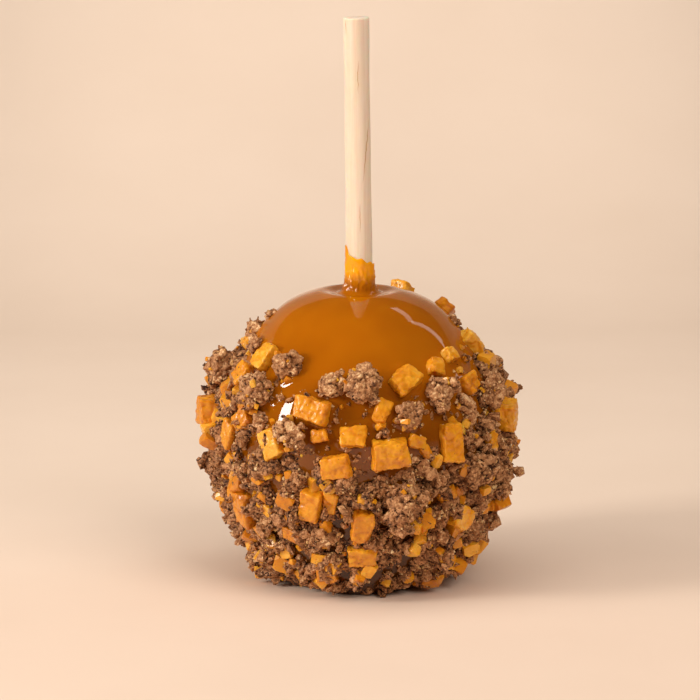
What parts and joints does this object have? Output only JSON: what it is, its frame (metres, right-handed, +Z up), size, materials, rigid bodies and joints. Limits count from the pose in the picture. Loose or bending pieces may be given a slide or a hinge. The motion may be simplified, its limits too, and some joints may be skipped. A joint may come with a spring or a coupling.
{
  "type": "toffee apple",
  "caption": "Apple dipped in caramel and rolled in broken toffee and chocolate crumble, on a round wooden stick.",
  "frame": {"origin": "middle of the flat foot that the apple stands on", "axes": "+Z up, towards the top of the stick; -Y is the front that the picture shows, +X is to its right"},
  "size_m": [0.0805, 0.082, 0.1408],
  "materials": {
    "caramel": "clear amber caramel coat, wet gloss",
    "toffee": "broken butter toffee, opaque, half gloss on snapped faces",
    "chocolate": "milk chocolate crumble, rough and matte",
    "wood": "pale bare birch, sanded, fine grain along the stick"
  },
  "bodies": {
    "root": {"caramel_apple": "caramel", "chocolate_01": "chocolate", "chocolate_02": "chocolate", "chocolate_03": "chocolate", "chocolate_04": "chocolate", "chocolate_05": "chocolate", "chocolate_06": "chocolate", "chocolate_07": "chocolate", "chocolate_08": "chocolate", "chocolate_09": "chocolate", "chocolate_10": "chocolate", "chocolate_11": "chocolate", "chocolate_12": "chocolate", "chocolate_13": "chocolate", "chocolate_14": "chocolate", "chocolate_15": "chocolate", "chocolate_16": "chocolate", "chocolate_17": "chocolate", "chocolate_18": "chocolate", "chocolate_19": "chocolate", "chocolate_20": "chocolate", "chocolate_21": "chocolate", "chocolate_22": "chocolate", "chocolate_23": "chocolate", "chocolate_24": "chocolate", "chocolate_25": "chocolate", "stick": "wood", "toffee_01": "toffee", "toffee_02": "toffee", "toffee_03": "toffee", "toffee_04": "toffee", "toffee_05": "toffee", "toffee_06": "toffee", "toffee_07": "toffee", "toffee_08": "toffee", "toffee_09": "toffee", "toffee_10": "toffee", "toffee_11": "toffee", "toffee_12": "toffee", "toffee_13": "toffee", "toffee_14": "toffee", "toffee_15": "toffee", "toffee_16": "toffee", "toffee_17": "toffee", "toffee_18": "toffee", "toffee_19": "toffee", "toffee_20": "toffee", "toffee_21": "toffee", "toffee_22": "toffee", "toffee_23": "toffee", "toffee_24": "toffee", "toffee_25": "toffee", "toffee_26": "toffee", "toffee_27": "toffee", "toffee_28": "toffee", "toffee_29": "toffee", "toffee_30": "toffee", "toffee_31": "toffee", "toffee_32": "toffee", "toffee_33": "toffee"}
  },
  "joints": []
}
